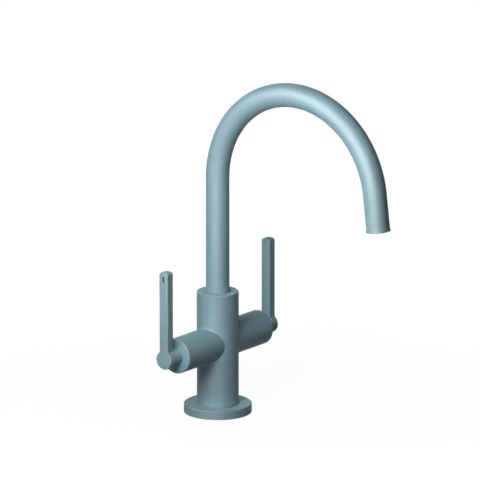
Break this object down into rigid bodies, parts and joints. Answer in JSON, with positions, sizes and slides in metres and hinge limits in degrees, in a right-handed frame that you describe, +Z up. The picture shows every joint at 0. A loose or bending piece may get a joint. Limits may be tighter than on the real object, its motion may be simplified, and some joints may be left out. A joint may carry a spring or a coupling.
{
  "type": "basin mixer tap",
  "caption": "Deck-standing two-handle basin mixer: round column on a flange, side valves with upright flat levers, and a tall swivelling tube spout bent in an arch.",
  "frame": {"origin": "middle of the foot's underside, where the tap stands on the basin", "axes": "+Z up along the column, -Y the way the spout points at rest (to the user), X along the handle axis with the hot lever at -X"},
  "size_m": [0.165, 0.2276, 0.3272],
  "materials": {
    "lacquer": "satin blue-grey lacquer",
    "raw_brass": "turned, uncoated",
    "seal_rubber": "matt black",
    "valve_ceramic": "lapped white",
    "white_plastic": "moulded natural white",
    "grey_plastic": "moulded light grey",
    "steel": "plain stainless",
    "hot_enamel": "dark red enamel",
    "cold_enamel": "dark blue enamel"
  },
  "bodies": {
    "root": {"body_casting": "lacquer", "base_flange": "lacquer", "base_seal": "seal_rubber", "spout_screw": "steel", "hot_sleeve": "lacquer", "hot_end_cap": "lacquer", "hot_stem_bush": "white_plastic", "hot_clamp_nut": "raw_brass", "hot_headwork": "raw_brass", "hot_arm_seal": "seal_rubber", "hot_seat_seal": "seal_rubber", "hot_fixed_disc": "valve_ceramic", "hot_thrust_washer": "white_plastic", "cold_sleeve": "lacquer", "cold_end_cap": "lacquer", "cold_stem_bush": "white_plastic", "cold_clamp_nut": "raw_brass", "cold_headwork": "raw_brass", "cold_arm_seal": "seal_rubber", "cold_seat_seal": "seal_rubber", "cold_fixed_disc": "valve_ceramic", "cold_thrust_washer": "white_plastic"},
    "hot_handle": {"hot_lever": "lacquer", "hot_mark": "hot_enamel", "hot_set_screw": "steel", "hot_spline_insert": "white_plastic", "hot_spindle": "raw_brass", "hot_spindle_seal": "seal_rubber", "hot_spindle_clip": "steel", "hot_moving_disc": "valve_ceramic"},
    "cold_handle": {"cold_lever": "lacquer", "cold_mark": "cold_enamel", "cold_set_screw": "steel", "cold_spline_insert": "white_plastic", "cold_spindle": "raw_brass", "cold_spindle_seal": "seal_rubber", "cold_spindle_clip": "steel", "cold_moving_disc": "valve_ceramic"},
    "spout": {"spout_tube": "lacquer", "spout_spigot": "raw_brass", "upper_slide_ring": "white_plastic", "lower_slide_ring": "white_plastic", "upper_spout_seal": "seal_rubber", "lower_spout_seal": "seal_rubber", "aerator_housing": "lacquer", "aerator_insert": "grey_plastic", "aerator_seal": "seal_rubber", "aerator_screen": "steel"}
  },
  "joints": [
    {"name": "hot_lever_turn", "type": "hinge", "parent": "root", "child": "hot_handle", "pos_m": [-0.0693, 0, 0.0675], "axis": [1, 0, 0], "range_deg": [0, 90]},
    {"name": "cold_lever_turn", "type": "hinge", "parent": "root", "child": "cold_handle", "pos_m": [0.0693, 0, 0.0675], "axis": [1, 0, 0], "range_deg": [0, 90]},
    {"name": "spout_swivel", "type": "hinge", "parent": "root", "child": "spout", "pos_m": [0, 0, 0.1], "axis": [0, 0, 1], "range_deg": [-75, 75]}
  ]
}
